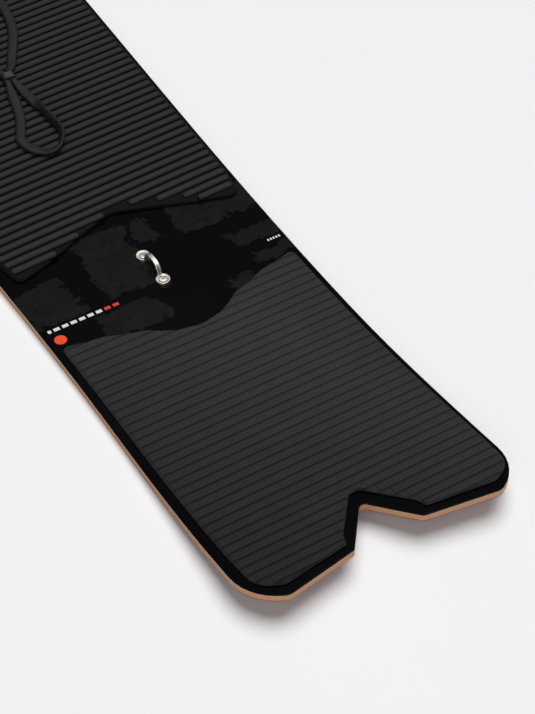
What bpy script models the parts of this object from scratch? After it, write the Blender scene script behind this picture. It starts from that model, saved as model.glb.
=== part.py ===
"""A bindingless powder board: a flat cambered deck of laminated wood with a swallow tail and raised ends.

+X points to the nose, +Y to the rider's left and +Z up. The origin is on the ground under the middle
of the board. The deck is five glued layers. On it lie two foam pads, and two metal rope anchors are
screwed into threaded inserts in the wood. A flat braided rope runs from the front anchor to a handle
loop that lies on the front pad.
"""

import math

import bmesh
import bpy
from mathutils import Matrix, Vector

# Outline of the deck, in metres.
LENGTH = 1.560
WAIST_HALF = 0.1452
NOSE_HALF = 0.1706
TAIL_HALF = 0.1495
WAIST_FROM_TAIL = 0.340  # the narrowest place
WIDE_FROM_NOSE = 0.320  # the widest place, where the round of the nose begins
TAIL_WIDE_FROM_TAIL = 0.065
NOSE_ROUND = (2.2, 2.0)  # the powers of the curve round the nose

# The swallow tail. Depths are measured forward from the rearmost point.
TAIL_SIDE_DEPTH, TAIL_SIDE_RADIUS = 0.0175, 0.056
TAIL_END_Y, TAIL_END_DEPTH, TAIL_END_RADIUS = 0.1165, -0.0006, 0.012
TAIL_TIP_Y, TAIL_TIP_DEPTH, TAIL_TIP_RADIUS = 0.0385, 0.0133, 0.005
NOTCH_DEPTH, NOTCH_RADIUS = 0.0630, 0.006

# Raised ends: the rise grows with the square of the distance past its start.
TAIL_KICK_LENGTH, TAIL_KICK_RATE = 0.2938, 0.298
NOSE_ROCKER_LENGTH, NOSE_ROCKER_RATE = 0.310, 0.620
STATION_STEP = 0.030

# The layers of the deck, from the ground up, and the gap that touching pieces keep.
GAP = 0.0003
BASE_THICK = 0.0013
LOWER_LAMINATE_THICK = 0.0005
CORE_THICK = 0.0043
UPPER_LAMINATE_THICK = 0.0005
TOPSHEET_THICK = 0.0004

# Foam pads.
FILM_THICK = 0.0004
FILM_INSET = 0.002
TAIL_PAD_THICK = 0.0030
TAIL_PAD_SIDE_INSET = 0.0077
TAIL_PAD_BACK_INSET = 0.0125
TAIL_PAD_NOTCH_FLAT = 0.0055  # half of the straight edge ahead of the notch
TAIL_PAD_FROM_TAIL, TAIL_PAD_FRONT_DIP = 0.400, 0.045
TAIL_PAD_ASIDE, TAIL_PAD_SKEW = -0.0005, 0.0072  # to the right at its front, and more so towards the tail
GROOVE_PITCH, GROOVE_WIDTH, GROOVE_DEPTH = 0.01106, 0.0016, 0.0008
FIRST_GROOVE = 0.61  # pitches behind the front of the pad
FRONT_PAD_THICK = 0.0035
FRONT_PAD_SIDE_INSET = 0.0075
FRONT_PAD_FROM_TAIL, FRONT_PAD_BACK_DIP = 0.5045, 0.047
FRONT_PAD_FROM_NOSE, FRONT_PAD_NOSE_POINT = 0.480, 0.045
FRONT_PAD_CORNER_RADIUS = 0.010
FRONT_PAD_ASIDE = -0.003  # laid a little to the right of the middle line
RIB_PITCH, RIB_HEIGHT, RIB_VALLEY = 0.01173, 0.0028, 0.0050
RIB_SIDE_BORDER, RIB_END_BORDER = 0.002, 0.005
RIB_VALLEY_X = 0.1055  # one of the valleys, on the middle line
RIB_TURN = math.radians(-2.55)

# Rope anchors: an arch between two round feet, each with a screw in a threaded insert.
REAR_ANCHOR_FROM_TAIL = 0.4543
FRONT_ANCHOR_FROM_NOSE = 0.360
SCREW_PITCH = 0.042
FOOT_RADIUS, FOOT_THICK = 0.0076, 0.0030
ARCH_BAR_RADIUS, ARCH_HEIGHT = 0.0025, 0.0163
ARCH_OVERLAP, ARCH_SINK = 0.0004, 0.0021  # how far the bar's middle reaches into a foot, and below its top
SCREW_HEAD_RADIUS, SCREW_HEAD_THICK = 0.0043, 0.0019
SCREW_SHANK_RADIUS = 0.0027
SOCKET_RADIUS, SOCKET_DEPTH = 0.0021, 0.0013
INSERT_RADIUS = 0.0046
INSERT_FLANGE_RADIUS, INSERT_FLANGE_THICK = 0.0080, 0.0009
ROUND_SIDES = 24

# The rope, and the keeper that holds its two runs together at the handle.
ROPE_RADIUS = 0.00325
ROPE_POINT_STEP = 0.018
KEEPER_CENTRE = (0.0270, -0.0105)
KEEPER_TURN = math.radians(-6.0)
KEEPER_LENGTH, KEEPER_WIDTH, KEEPER_HEIGHT = 0.010, 0.016, 0.0098
KEEPER_ROUND = 0.0035
KEEPER_LANE = 0.0040  # from the keeper's middle to the middle of each run in it
KEEPER_LEAD = 0.005  # how far the rope goes straight out of it

TAIL_X = -LENGTH / 2
NOSE_X = LENGTH / 2
WAIST_X = TAIL_X + WAIST_FROM_TAIL
WIDE_X = NOSE_X - WIDE_FROM_NOSE
TAIL_WIDE_X = TAIL_X + TAIL_WIDE_FROM_TAIL
FRONT_PAD_BACK_X = TAIL_X + FRONT_PAD_FROM_TAIL
FRONT_PAD_NOSE_X = NOSE_X - FRONT_PAD_FROM_NOSE
REAR_ANCHOR_X = TAIL_X + REAR_ANCHOR_FROM_TAIL
FRONT_ANCHOR_X = NOSE_X - FRONT_ANCHOR_FROM_NOSE

LOWER_LAMINATE_Z = BASE_THICK + GAP
CORE_Z = LOWER_LAMINATE_Z + LOWER_LAMINATE_THICK + GAP
UPPER_LAMINATE_Z = CORE_Z + CORE_THICK + GAP
TOPSHEET_Z = UPPER_LAMINATE_Z + UPPER_LAMINATE_THICK + GAP
DECK_TOP = TOPSHEET_Z + TOPSHEET_THICK
FILM_Z = DECK_TOP + GAP
PAD_Z = FILM_Z + FILM_THICK + GAP
FRONT_PAD_TOP = PAD_Z + FRONT_PAD_THICK + RIB_HEIGHT

# The rope's route as (x, y, z). Both runs start and end at the keeper. The left run goes forward to
# the front anchor, through its eye, and comes back as the right run.
ON_PAD = FRONT_PAD_TOP + GAP + ROPE_RADIUS
ON_DECK = DECK_TOP + GAP + ROPE_RADIUS
IN_KEEPER = ON_PAD + 0.0010
RUNS_ROUTE = [
    (0.0480, -0.0040, ON_PAD + 0.0003),
    (0.0620, 0.0050, ON_PAD),
    (0.0820, 0.0165, ON_PAD),
    (0.1100, 0.0270, ON_PAD),
    (0.1500, 0.0335, ON_PAD),
    (0.1950, 0.0330, ON_PAD),
    (0.2400, 0.0280, ON_PAD),
    (0.2850, 0.0245, ON_PAD),
    (0.3200, 0.0240, ON_PAD),
    (0.3480, 0.0250, ON_PAD),
    (0.3720, 0.0262, ON_DECK + 0.0012),
    (0.3930, 0.0245, ON_DECK),
    (0.4120, 0.0160, ON_DECK),
    (0.4200, 0.0000, ON_DECK),
    (0.4120, -0.0160, ON_DECK),
    (0.3930, -0.0250, ON_DECK),
    (0.3720, -0.0275, ON_DECK + 0.0012),
    (0.3480, -0.0285, ON_PAD),
    (0.3200, -0.0300, ON_PAD),
    (0.2800, -0.0370, ON_PAD),
    (0.2350, -0.0500, ON_PAD),
    (0.1900, -0.0630, ON_PAD),
    (0.1650, -0.0675, ON_PAD),
    (0.1450, -0.0655, ON_PAD),
    (0.1250, -0.0615, ON_PAD),
    (0.1000, -0.0530, ON_PAD),
    (0.0780, -0.0415, ON_PAD),
    (0.0580, -0.0300, ON_PAD),
    (0.0440, -0.0225, ON_PAD + 0.0003),
]
HANDLE_ROUTE = [
    (0.0100, -0.0138, ON_PAD + 0.0004),
    (0.0000, -0.0142, ON_PAD),
    (-0.0200, -0.0156, ON_PAD),
    (-0.0400, -0.0167, ON_PAD),
    (-0.0600, -0.0176, ON_PAD),
    (-0.0780, -0.0184, ON_PAD),
    (-0.0900, -0.0170, ON_PAD),
    (-0.1000, -0.0130, ON_PAD),
    (-0.1080, -0.0075, ON_PAD),
    (-0.1130, -0.0005, ON_PAD),
    (-0.1135, 0.0075, ON_PAD),
    (-0.1085, 0.0150, ON_PAD),
    (-0.1010, 0.0215, ON_PAD),
    (-0.0900, 0.0262, ON_PAD),
    (-0.0780, 0.0268, ON_PAD),
    (-0.0680, 0.0228, ON_PAD),
    (-0.0500, 0.0135, ON_PAD),
    (-0.0400, 0.0095, ON_PAD),
    (-0.0200, 0.0035, ON_PAD),
    (0.0000, -0.0010, ON_PAD),
    (0.0100, -0.0035, ON_PAD + 0.0004),
]


def smoothstep(t):
    """0 to 1 with level ends."""
    return t * t * (3 - 2 * t)


def half_width(x):
    """Half of the deck's width at x, between the tail's round and the nose's."""
    if x >= WAIST_X:
        return WAIST_HALF + (NOSE_HALF - WAIST_HALF) * smoothstep(min((x - WAIST_X) / (WIDE_X - WAIST_X), 1))
    return WAIST_HALF + (TAIL_HALF - WAIST_HALF) * smoothstep(min((WAIST_X - x) / (WAIST_X - TAIL_WIDE_X), 1))


def rise(x):
    """How far the raised ends lift the deck at x."""
    kick = max(TAIL_X + TAIL_KICK_LENGTH - x, 0)
    rocker = max(x - (NOSE_X - NOSE_ROCKER_LENGTH), 0)
    return TAIL_KICK_RATE * kick**2 + NOSE_ROCKER_RATE * rocker**2


def side_points(start, end, count, inset=0.0):
    """Points along the left side from start to end."""
    xs = [start + (end - start) * i / count for i in range(count + 1)]
    return [(x, half_width(x) - inset, 0) for x in xs]


def rounded(corners, step=math.radians(9)):
    """A closed outline through (x, y, radius) corners, each corner turned into an arc."""
    points = []
    for i, (x, y, radius) in enumerate(corners):
        here = Vector((x, y))
        before = (Vector(corners[i - 1][:2]) - here).normalized()
        after = (Vector(corners[(i + 1) % len(corners)][:2]) - here).normalized()
        turn = math.pi - before.angle(after)
        if radius == 0 or turn < 1e-4:
            points.append(here)
            continue
        reach = radius * math.tan(turn / 2)
        middle = here + (before + after).normalized() * radius / math.cos(turn / 2)
        first = here + before * reach - middle
        sign = math.copysign(1, before.x * after.y - before.y * after.x)
        count = max(2, math.ceil(turn / step))
        for k in range(count + 1):
            points.append(middle + Matrix.Rotation(-sign * turn * k / count, 2) @ first)
    return points


def mirrored(left):
    """A closed outline from its left half, which runs from the nose's middle to the tail's middle."""
    right = [(x, -y, radius) for x, y, radius in reversed(left) if y > 1e-6]
    return rounded(left + right)


def deck_outline():
    across, along = NOSE_ROUND
    nose = []
    for i in range(20):
        turn = math.pi / 2 * (1 - (i / 20) ** 1.3)
        x = WIDE_X + (NOSE_X - WIDE_X) * math.sin(turn) ** (2 / across)
        nose.append((x, NOSE_HALF * math.cos(turn) ** (2 / along), 0))
    side = side_points(WIDE_X, WAIST_X, 16) + side_points(WAIST_X, TAIL_WIDE_X, 7)[1:]
    tail = [
        (TAIL_X + TAIL_SIDE_DEPTH, TAIL_HALF, TAIL_SIDE_RADIUS),
        (TAIL_X + TAIL_END_DEPTH, TAIL_END_Y, TAIL_END_RADIUS),
        (TAIL_X + TAIL_TIP_DEPTH, TAIL_TIP_Y, TAIL_TIP_RADIUS),
        (TAIL_X + NOTCH_DEPTH, 0, NOTCH_RADIUS),
    ]
    return mirrored(nose + side + tail)


def tail_pad_outline(inset=0.0):
    """The tail pad: a shallow wavy V in front, and a W behind that follows the swallow tail."""
    corner_x = TAIL_X + TAIL_PAD_FROM_TAIL - inset
    wave = [
        (0, 1), (0.10, 0.94), (0.18, 0.88), (0.28, 0.73),
        (0.37, 0.53), (0.53, 0.38), (0.67, 0.20), (0.83, 0.11),
    ]
    reach = half_width(corner_x) - TAIL_PAD_SIDE_INSET - inset
    front = [(corner_x - TAIL_PAD_FRONT_DIP * dip, reach * share, 0) for share, dip in wave]
    side = side_points(corner_x, TAIL_WIDE_X + 0.006, 9, TAIL_PAD_SIDE_INSET + inset)
    corner = [(corner_x, reach, 0.005)]
    set_in = TAIL_PAD_BACK_INSET + inset
    back = [
        (TAIL_X + TAIL_SIDE_DEPTH + 0.56 * set_in, TAIL_HALF - TAIL_PAD_SIDE_INSET - 0.001 - inset, 0.028),
        (TAIL_X + TAIL_END_DEPTH + set_in, TAIL_END_Y - 0.0005, 0.010),
        (TAIL_X + TAIL_TIP_DEPTH + 0.74 * set_in, TAIL_TIP_Y + 0.44 * set_in, 0.003),
        (TAIL_X + TAIL_TIP_DEPTH + 1.70 * set_in, TAIL_TIP_Y + 0.12 * set_in, 0.003),
        (TAIL_X + NOTCH_DEPTH + 1.12 * set_in, TAIL_PAD_NOTCH_FLAT, 0.004),
    ]
    even = mirrored(front + corner + side[1:] + back)
    return [Vector((p.x, p.y + TAIL_PAD_ASIDE + TAIL_PAD_SKEW * (p.x - corner_x))) for p in even]


def front_pad_outline(side_in=0.0, end_in=0.0):
    """The front pad: pointed towards the nose in front, and hollowed by a V behind."""
    side_inset = FRONT_PAD_SIDE_INSET + side_in
    nose_x = FRONT_PAD_NOSE_X - end_in
    back_x = FRONT_PAD_BACK_X + end_in
    front = [(nose_x + FRONT_PAD_NOSE_POINT, 0, 0.012)]
    side = side_points(nose_x, back_x + 0.040, 12, side_inset)
    corner = [(nose_x, side[0][1], FRONT_PAD_CORNER_RADIUS)]
    corner_y = half_width(back_x) - side_inset - 0.006
    back = [
        (back_x, corner_y, FRONT_PAD_CORNER_RADIUS),
        (back_x + 0.26 * FRONT_PAD_BACK_DIP, 0.69 * corner_y, 0.030),
        (back_x + 0.72 * FRONT_PAD_BACK_DIP, 0.28 * corner_y, 0.030),
        (back_x + FRONT_PAD_BACK_DIP, 0, 0.020),
    ]
    aside = Vector((0, FRONT_PAD_ASIDE))
    return [point + aside for point in mirrored(front + corner + side[1:] + back)]


def reset_scene():
    for obj in list(bpy.data.objects):
        bpy.data.objects.remove(obj)


def collection(name):
    made = bpy.data.collections.new(name)
    bpy.context.scene.collection.children.link(made)
    return made


def finish(name, color, roughness, metallic=0.0):
    """A plain Principled material."""
    made = bpy.data.materials.new(name)
    made.use_nodes = True
    shader = made.node_tree.nodes["Principled BSDF"]
    shader.inputs["Base Color"].default_value = (*color, 1)
    shader.inputs["Roughness"].default_value = roughness
    shader.inputs["Metallic"].default_value = metallic
    return made


def as_cutter(obj):
    obj.hide_render = True
    obj.display_type = "WIRE"
    return obj


def add(name, mesh, material, where):
    obj = bpy.data.objects.new(name, mesh)
    where.objects.link(obj)
    if material:
        mesh.materials.clear()
        mesh.materials.append(material)
    return obj


def solid_of(obj):
    """The evaluated shape of an object as a bmesh in world space. The object is removed."""
    bpy.context.view_layer.update()
    mesh = bpy.data.meshes.new_from_object(obj.evaluated_get(bpy.context.evaluated_depsgraph_get()))
    mesh.transform(obj.matrix_world)
    bpy.data.objects.remove(obj)
    bm = bmesh.new()
    bm.from_mesh(mesh)
    bmesh.ops.remove_doubles(bm, verts=bm.verts, dist=0.00001)
    bpy.data.meshes.remove(mesh)
    return bm


def mesh_of(bm, name):
    bmesh.ops.recalc_face_normals(bm, faces=bm.faces)
    mesh = bpy.data.meshes.new(name)
    bm.to_mesh(mesh)
    bm.free()
    return mesh


def plate(name, outline, z, thick):
    """A flat plate with that outline, as a bmesh."""
    curve = bpy.data.curves.new(name, "CURVE")
    curve.dimensions = "2D"
    curve.fill_mode = "BOTH"
    curve.extrude = thick / 2
    spline = curve.splines.new("POLY")
    spline.points.add(len(outline) - 1)
    for point, (x, y) in zip(spline.points, outline):
        point.co = (x, y, 0, 1)
    spline.use_cyclic_u = True
    obj = bpy.data.objects.new(name, curve)
    bpy.context.scene.collection.objects.link(obj)
    obj.location.z = z + thick / 2
    bm = solid_of(obj)
    bmesh.ops.dissolve_limit(bm, angle_limit=0.0005, verts=bm.verts, edges=bm.edges)
    return bm


def cut_across(bm, x, lean=0.0, above=None):
    """Cuts the faces along the line x + lean * y. With above, only faces that lie wholly above it."""
    faces = bm.faces[:]
    if above is not None:
        faces = [f for f in faces if f.normal.z > 0.9 and min(v.co.z for v in f.verts) > above]
    parts = {v for f in faces for v in f.verts} | {e for f in faces for e in f.edges} | set(faces)
    bmesh.ops.bisect_plane(
        bm, geom=list(parts), dist=0.000001, plane_co=(x, 0, 0), plane_no=(1, -lean, 0)
    )
    bm.normal_update()


def stations():
    """The places along the raised ends where a layer gets an edge so that it can bend."""
    kicks = math.ceil(TAIL_KICK_LENGTH / STATION_STEP)
    rocks = math.ceil(NOSE_ROCKER_LENGTH / STATION_STEP)
    tail = [TAIL_X + TAIL_KICK_LENGTH * (1 - i / kicks) for i in range(kicks)]
    nose = [NOSE_X - NOSE_ROCKER_LENGTH * (1 - i / rocks) for i in range(rocks)]
    return tail + nose


def bend(bm):
    """Cuts a flat piece at the stations and lifts it to the raised ends."""
    for x in stations():
        cut_across(bm, x)
    lift(bm)


def lift(bm):
    for v in bm.verts:
        v.co.z += rise(v.co.x)


def layer(name, z, thick, material, where, outline):
    bm = plate(name, outline, z, thick)
    bend(bm)
    return add(name, mesh_of(bm, name), material, where)


def groove_places():
    """The x of each fine groove across the tail pad."""
    first = TAIL_X + TAIL_PAD_FROM_TAIL - FIRST_GROOVE * GROOVE_PITCH
    last = TAIL_X + TAIL_END_DEPTH + TAIL_PAD_BACK_INSET + GROOVE_WIDTH
    count = int((first - last) / GROOVE_PITCH)
    return [first - GROOVE_PITCH * k for k in range(count + 1)]


def tail_pad(where, material):
    bm = plate("tail_pad", tail_pad_outline(), PAD_Z, TAIL_PAD_THICK)
    top = PAD_Z + TAIL_PAD_THICK
    places = groove_places()
    for x in stations():
        cut_across(bm, x)
    for x in places:
        for side in (-1, 0, 1):
            cut_across(bm, x + side * GROOVE_WIDTH / 2, above=top - 0.0001)
    for v in bm.verts:
        if v.co.z > top - 0.0001 and any(abs(v.co.x - x) < 0.00002 for x in places):
            v.co.z -= GROOVE_DEPTH
    lift(bm)
    return add("tail_pad", mesh_of(bm, "tail_pad"), material, where)


def front_pad(where, material, cutters):
    """A smooth sheet with a field of ribs on it that stops short of its border."""
    sheet = plate("front_pad", front_pad_outline(), PAD_Z, FRONT_PAD_THICK)
    obj = add("front_pad", mesh_of(sheet, "front_pad"), material, where)
    sheet_top = PAD_Z + FRONT_PAD_THICK
    low = sheet_top - 0.0010
    lean = math.tan(RIB_TURN)
    ribs = plate("ribs", front_pad_outline(RIB_SIDE_BORDER, RIB_END_BORDER), low, FRONT_PAD_TOP - low)
    ahead = math.ceil((FRONT_PAD_NOSE_X + FRONT_PAD_NOSE_POINT - RIB_VALLEY_X) / RIB_PITCH) + 1
    behind = math.ceil((RIB_VALLEY_X - FRONT_PAD_BACK_X) / RIB_PITCH) + 1
    valleys = [RIB_VALLEY_X + RIB_PITCH * k for k in range(-behind, ahead + 1)]
    for x in valleys:
        for side in (-1, 0, 1):
            cut_across(ribs, x + side * RIB_VALLEY / 2, lean)
    for v in ribs.verts:
        along = v.co.x - lean * v.co.y
        if v.co.z > FRONT_PAD_TOP - 0.0001 and any(abs(along - x) < 0.00002 for x in valleys):
            v.co.z = sheet_top + 0.0003
    rib_field = as_cutter(add("rib_field", mesh_of(ribs, "rib_field"), None, cutters))
    join = obj.modifiers.new("ribs", "BOOLEAN")
    join.operation = "UNION"
    join.object = rib_field
    return obj


def film(name, outline, where, material):
    return layer(name, FILM_Z, FILM_THICK, material, where, outline)


def turned(name, profile, place, material, where, sides=ROUND_SIDES):
    """A turned solid. The profile is (radius, z) from its top to its bottom."""
    mesh = bpy.data.meshes.new(name)
    points = [(r, 0, z) for r, z in profile]
    mesh.from_pydata(points, [(i, i + 1) for i in range(len(points) - 1)], [])
    obj = add(name, mesh, material, where)
    obj.location = place
    screw = obj.modifiers.new("turn", "SCREW")
    screw.steps = sides
    screw.render_steps = sides
    screw.use_merge_vertices = True
    screw.merge_threshold = 0.00001
    screw.use_smooth_shade = False
    return obj


def cutter(name, profile, place, cutters, sides=ROUND_SIDES):
    return as_cutter(turned(name, profile, place, None, cutters, sides))


def cut(obj, tool):
    made = obj.modifiers.new("cut", "BOOLEAN")
    made.operation = "DIFFERENCE"
    made.object = tool


def screw_places():
    """(anchor name, number, x) of the four screws."""
    places = []
    for anchor, middle in (("rear", REAR_ANCHOR_X), ("front", FRONT_ANCHOR_X)):
        for number, side in ((1, -1), (2, 1)):
            places.append((anchor, number, middle + side * SCREW_PITCH / 2))
    return places


def insert(name, x, material, where):
    """A threaded insert: a flange under the wood and a sleeve up to the deck's top."""
    bore = SCREW_SHANK_RADIUS + GAP
    bottom = CORE_Z
    profile = [
        (bore, DECK_TOP),
        (INSERT_RADIUS, DECK_TOP),
        (INSERT_RADIUS, bottom + INSERT_FLANGE_THICK),
        (INSERT_FLANGE_RADIUS, bottom + INSERT_FLANGE_THICK),
        (INSERT_FLANGE_RADIUS, bottom),
        (bore, bottom),
        (bore, DECK_TOP),
    ]
    return turned(name, profile, (x, 0, 0), material, where)


def insert_cutters(x, tag, cutters):
    """The hole through the top layers and the stepped pocket in the wood."""
    hole = INSERT_RADIUS + GAP
    pocket = INSERT_FLANGE_RADIUS + GAP
    step = CORE_Z + INSERT_FLANGE_THICK + GAP
    below, over = CORE_Z - GAP / 2, DECK_TOP + 0.002
    through = cutter(f"hole_{tag}", [(0, over), (hole, over), (hole, below), (0, below)], (x, 0, 0), cutters)
    profile = [(0, over), (hole, over), (hole, step), (pocket, step), (pocket, below), (0, below)]
    return through, cutter(f"pocket_{tag}", profile, (x, 0, 0), cutters)


def screw(name, x, material, where, cutters):
    top = DECK_TOP + GAP + FOOT_THICK - 0.0003
    under = top - SCREW_HEAD_THICK
    end = CORE_Z + 0.0004
    profile = [
        (0, top),
        (SCREW_HEAD_RADIUS - 0.0004, top),
        (SCREW_HEAD_RADIUS, top - 0.0004),
        (SCREW_HEAD_RADIUS, under),
        (SCREW_SHANK_RADIUS, under),
        (SCREW_SHANK_RADIUS, end),
        (0, end),
    ]
    obj = turned(name, profile, (x, 0, 0), material, where)
    floor = top - SOCKET_DEPTH
    socket = [(0, top + 0.001), (SOCKET_RADIUS, top + 0.001), (SOCKET_RADIUS, floor), (0, floor)]
    cut(obj, cutter(f"socket_{name}", socket, (x, 0, 0), cutters, 6))
    return obj


def tube(name, points, radius, resolution, where, material):
    curve = bpy.data.curves.new(name, "CURVE")
    curve.dimensions = "3D"
    curve.bevel_depth = radius
    curve.bevel_resolution = resolution
    curve.use_fill_caps = True
    spline = curve.splines.new("POLY")
    spline.points.add(len(points) - 1)
    for point, place in zip(spline.points, points):
        point.co = (*place, 1)
    obj = bpy.data.objects.new(name, curve)
    where.objects.link(obj)
    if material:
        curve.materials.append(material)
    return obj


def anchor(name, middle, material, where, cutters):
    """Two round feet joined by an arched bar, with a stepped hole for each screw."""
    foot_z = DECK_TOP + GAP
    feet = []
    for side in (-1, 1):
        x = middle + side * SCREW_PITCH / 2
        top = foot_z + FOOT_THICK
        profile = [
            (0, top),
            (FOOT_RADIUS - 0.0006, top),
            (FOOT_RADIUS, top - 0.0006),
            (FOOT_RADIUS, foot_z),
            (0, foot_z),
        ]
        foot = turned(f"{name}_foot_{side}", profile, (x, 0, 0), None, cutters)
        foot.rotation_euler.z = math.pi / ROUND_SIDES  # a flat, not an edge, faces the arch
        feet.append(foot)
    low = foot_z + FOOT_THICK - ARCH_SINK
    crown = foot_z + ARCH_HEIGHT - ARCH_BAR_RADIUS
    half_span = SCREW_PITCH / 2 - FOOT_RADIUS + ARCH_OVERLAP
    bar = []
    for k in range(13):
        turn = math.pi * k / 12
        along = half_span * math.copysign(abs(math.cos(turn)) ** 0.72, math.cos(turn))
        bar.append((middle + along, 0, low + (crown - low) * math.sin(turn) ** 0.9))
    arch = tube(f"{name}_bar", bar, ARCH_BAR_RADIUS, 3, cutters, None)
    obj = add(name, mesh_of(solid_of(arch), name), material, where)
    for foot in feet:
        as_cutter(foot)
        join = obj.modifiers.new("foot", "BOOLEAN")
        join.operation = "UNION"
        join.object = foot
    for side in (-1, 1):
        x = middle + side * SCREW_PITCH / 2
        head, shank = SCREW_HEAD_RADIUS + GAP, SCREW_SHANK_RADIUS + GAP
        seat = foot_z + FOOT_THICK - 0.0003 - SCREW_HEAD_THICK - GAP
        over, under = foot_z + FOOT_THICK + 0.001, foot_z - 0.001
        profile = [(0, over), (head, over), (head, seat), (shank, seat), (shank, under), (0, under)]
        cut(obj, cutter(f"{name}_seat_{side}", profile, (x, 0, 0), cutters))
    return obj


def at_keeper(end, side, out):
    """A point on a run, out from the keeper's nose end (1) or tail end (-1)."""
    along = end * (KEEPER_LENGTH / 2 + GAP + out)
    place = Matrix.Rotation(KEEPER_TURN, 2) @ Vector((along, side * KEEPER_LANE))
    return (KEEPER_CENTRE[0] + place.x, KEEPER_CENTRE[1] + place.y, IN_KEEPER)


def between_keeper(route, end, first_side):
    """A route with its straight leads out of the keeper and back into it."""
    out = [at_keeper(end, first_side, reach) for reach in (0, KEEPER_LEAD)]
    back = [at_keeper(end, -first_side, reach) for reach in (KEEPER_LEAD, 0)]
    return out + route + back


def smooth_route(points, step):
    """The first and last point as they are, and between them points about step apart on a smooth curve."""
    route = [Vector(p) for p in points]
    fine = []
    for a, b, c, d in zip(route, route[1:], route[2:], route[3:]):
        for k in range(20):
            t = k / 20
            bow = (2 * a - 5 * b + 4 * c - d) * t**2 + (3 * b - a - 3 * c + d) * t**3
            fine.append(0.5 * (2 * b + (c - a) * t + bow))
    fine.append(route[-2])
    total = sum((q - p).length for p, q in zip(fine, fine[1:]))
    count = round(total / step)
    spaced, run = [fine[0]], 0.0
    for p, q in zip(fine, fine[1:]):
        piece = (q - p).length
        while run + piece >= total / count * len(spaced) and len(spaced) < count:
            spaced.append(p.lerp(q, (total / count * len(spaced) - run) / piece))
        run += piece
    return [route[0]] + spaced + [route[-2], route[-1]]


def keeper(where, material):
    """A rounded sleeve that grips both runs of the rope."""
    bm = bmesh.new()
    bmesh.ops.create_cube(bm, size=1)
    bmesh.ops.scale(bm, vec=(KEEPER_LENGTH, KEEPER_WIDTH, KEEPER_HEIGHT), verts=bm.verts)
    obj = add("rope_keeper", mesh_of(bm, "rope_keeper"), material, where)
    obj.rotation_euler.z = KEEPER_TURN
    obj.location = (*KEEPER_CENTRE, FRONT_PAD_TOP + GAP + KEEPER_HEIGHT / 2)
    round_off = obj.modifiers.new("round", "BEVEL")
    round_off.width = KEEPER_ROUND
    round_off.segments = 3
    return obj


def build():
    reset_scene()
    parts = collection("powder_board")
    cutters = collection("cutters")
    base = finish("running_base", (0.42, 0.10, 0.04), 0.35)
    glass = finish("glass_laminate", (0.30, 0.22, 0.14), 0.5)
    wood = finish("wood_core", (0.62, 0.32, 0.12), 0.55)
    gloss = finish("gloss_topsheet", (0.006, 0.006, 0.008), 0.12)
    foam = finish("pad_foam", (0.030, 0.030, 0.032), 0.9)
    ribbed = finish("ribbed_foam", (0.018, 0.018, 0.019), 0.85)
    glue = finish("adhesive_film", (0.5, 0.5, 0.48), 0.6)
    nickel = finish("nickel", (0.62, 0.58, 0.54), 0.28, 1.0)
    steel = finish("screw_steel", (0.50, 0.48, 0.46), 0.3, 1.0)
    brass = finish("insert_steel", (0.45, 0.44, 0.42), 0.4, 1.0)
    cord = finish("braided_rope", (0.015, 0.015, 0.016), 0.7)

    outline = deck_outline()
    layer("running_base", 0, BASE_THICK, base, parts, outline)
    layer("lower_laminate", LOWER_LAMINATE_Z, LOWER_LAMINATE_THICK, glass, parts, outline)
    core = layer("wood_core", CORE_Z, CORE_THICK, wood, parts, outline)
    upper = layer("upper_laminate", UPPER_LAMINATE_Z, UPPER_LAMINATE_THICK, glass, parts, outline)
    top = layer("topsheet", TOPSHEET_Z, TOPSHEET_THICK, gloss, parts, outline)

    for name, number, x in screw_places():
        tag = f"{name}_{number}"
        through, pocket = insert_cutters(x, tag, cutters)
        cut(core, pocket)
        cut(upper, through)
        cut(top, through)
        insert(f"{name}_insert_{number}", x, brass, parts)
        screw(f"{name}_screw_{number}", x, steel, parts, cutters)
    anchor("rear_anchor", REAR_ANCHOR_X, nickel, parts, cutters)
    anchor("front_anchor", FRONT_ANCHOR_X, nickel, parts, cutters)

    film("tail_pad_film", tail_pad_outline(FILM_INSET), parts, glue)
    tail_pad(parts, foam)
    film("front_pad_film", front_pad_outline(FILM_INSET, FILM_INSET), parts, glue)
    front_pad(parts, ribbed, cutters)

    runs = smooth_route(between_keeper(RUNS_ROUTE, 1, 1), ROPE_POINT_STEP)
    handle = smooth_route(between_keeper(HANDLE_ROUTE, -1, -1), ROPE_POINT_STEP / 2)
    tube("rope_runs", runs, ROPE_RADIUS, 2, parts, cord)
    tube("rope_handle", handle, ROPE_RADIUS, 2, parts, cord)
    keeper(parts, cord)


build()
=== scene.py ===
# %% [markdown]
# # A bindingless powder board
#
# The board is a wide wooden deck with a swallow tail, ridden in deep snow with no bindings. Two foam
# pads give the feet their grip: a thin grooved one at the tail and a thick ribbed one ahead of it. Two
# metal anchors hold a rope with a handle loop.
#
# The solid model already has every piece at its real size. Here each piece that shows gets its fine
# surface and its finish. All lengths are in metres, +X points to the nose and +Z up.

# %% Load the solid model
import math

import bmesh
import bpy
from mathutils import Matrix, Vector


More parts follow.
